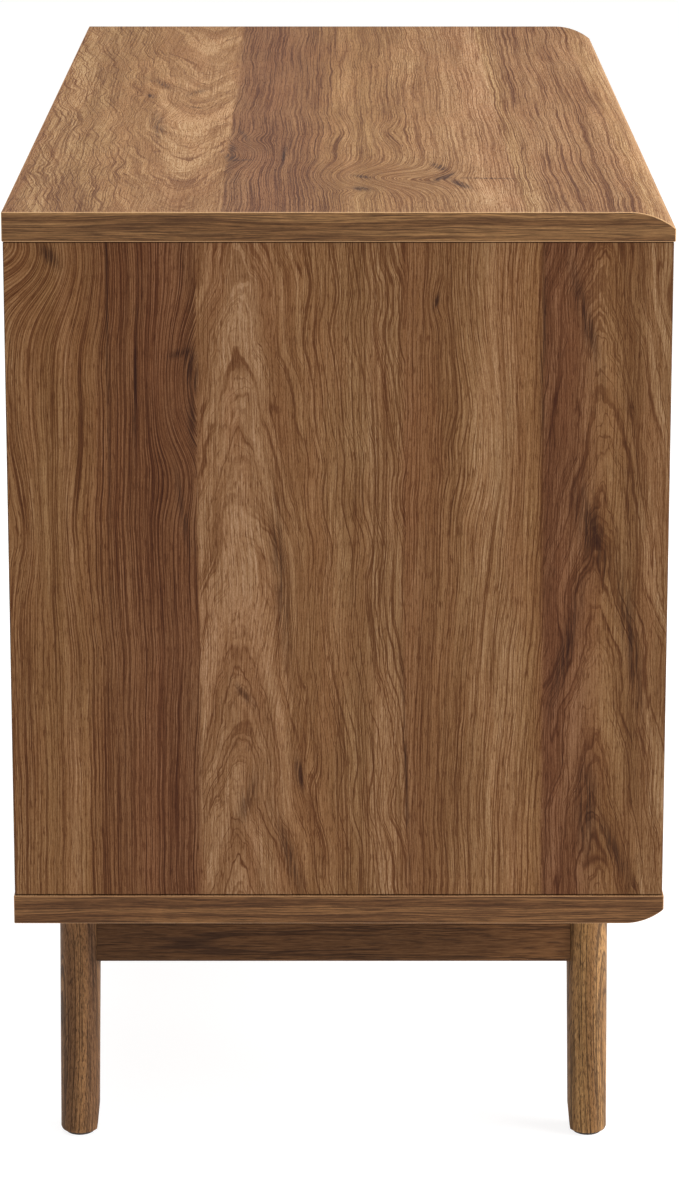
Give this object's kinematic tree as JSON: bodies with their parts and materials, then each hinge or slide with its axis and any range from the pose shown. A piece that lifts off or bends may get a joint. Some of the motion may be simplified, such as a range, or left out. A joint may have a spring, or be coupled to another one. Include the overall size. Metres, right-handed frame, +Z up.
{
  "type": "sideboard buffet",
  "caption": "Low storage cabinet on splayed round legs, with drawers above hinged doors and a softly rounded front edge on its top.",
  "frame": {"origin": "middle of the footprint, on the floor", "axes": "+Z up, +X along the length to the right as seen from the front, front towards -Y"},
  "size_m": [0.8, 0.4, 0.6],
  "materials": {
    "walnut_print": "satin walnut-print laminate on particle board",
    "walnut_leg": "stained solid wood, satin",
    "back_print": "printed hardboard, matt",
    "birch_board": "pale birch-print board, matt",
    "zinc_steel": "bright zinc plate",
    "brown_plastic": "moulded brown plastic",
    "black_felt": "pressed felt"
  },
  "bodies": {
    "cabinet": {"top": "walnut_print", "bottom": "walnut_print", "side_left": "walnut_print", "side_right": "walnut_print", "divider": "walnut_print", "deck_left": "walnut_print", "deck_right": "walnut_print", "back_panel": "back_print", "leg_front_left": "walnut_leg", "glide_front_left": "black_felt", "leg_front_right": "walnut_leg", "glide_front_right": "black_felt", "leg_rear_left": "walnut_leg", "glide_rear_left": "black_felt", "leg_rear_right": "walnut_leg", "glide_rear_right": "black_felt", "leg_rail_left": "walnut_leg", "leg_rail_right": "walnut_leg", "pivot_bush_left_upper": "brown_plastic", "pivot_bush_left_lower": "brown_plastic", "catch_left": "brown_plastic", "shelf_left": "walnut_print", "runner_left_left": "zinc_steel", "runner_left_right": "zinc_steel", "shelf_pin_left_left_front": "zinc_steel", "shelf_pin_left_left_rear": "zinc_steel", "shelf_pin_left_right_front": "zinc_steel", "shelf_pin_left_right_rear": "zinc_steel", "pivot_bush_right_upper": "brown_plastic", "pivot_bush_right_lower": "brown_plastic", "catch_right": "brown_plastic", "shelf_right": "walnut_print", "runner_right_left": "zinc_steel", "runner_right_right": "zinc_steel", "shelf_pin_right_left_front": "zinc_steel", "shelf_pin_right_left_rear": "zinc_steel", "shelf_pin_right_right_front": "zinc_steel", "shelf_pin_right_right_rear": "zinc_steel"},
    "drawer_left": {"drawer_left_front": "walnut_print", "drawer_left_side_left": "birch_board", "drawer_left_side_right": "birch_board", "drawer_left_back": "birch_board", "drawer_left_bottom": "birch_board", "slide_left_left": "zinc_steel", "slide_left_right": "zinc_steel"},
    "drawer_right": {"drawer_right_front": "walnut_print", "drawer_right_side_left": "birch_board", "drawer_right_side_right": "birch_board", "drawer_right_back": "birch_board", "drawer_right_bottom": "birch_board", "slide_right_left": "zinc_steel", "slide_right_right": "zinc_steel"},
    "door_left": {"door_left": "walnut_print", "door_pin_left_upper": "zinc_steel", "door_pin_left_lower": "zinc_steel", "catch_strike_left": "zinc_steel"},
    "door_right": {"door_right": "walnut_print", "door_pin_right_upper": "zinc_steel", "door_pin_right_lower": "zinc_steel", "catch_strike_right": "zinc_steel"}
  },
  "joints": [
    {"name": "drawer_left_slide", "type": "slide", "parent": "cabinet", "child": "drawer_left", "axis": [0, -1, 0], "range_m": [0, 0.22]},
    {"name": "drawer_right_slide", "type": "slide", "parent": "cabinet", "child": "drawer_right", "axis": [0, -1, 0], "range_m": [0, 0.22]},
    {"name": "door_left_hinge", "type": "hinge", "parent": "cabinet", "child": "door_left", "pos_m": [-0.37, -0.19, 0.174], "axis": [0, 0, -1], "range_deg": [0, 100]},
    {"name": "door_right_hinge", "type": "hinge", "parent": "cabinet", "child": "door_right", "pos_m": [0.37, -0.19, 0.174], "axis": [0, 0, 1], "range_deg": [0, 100]}
  ]
}
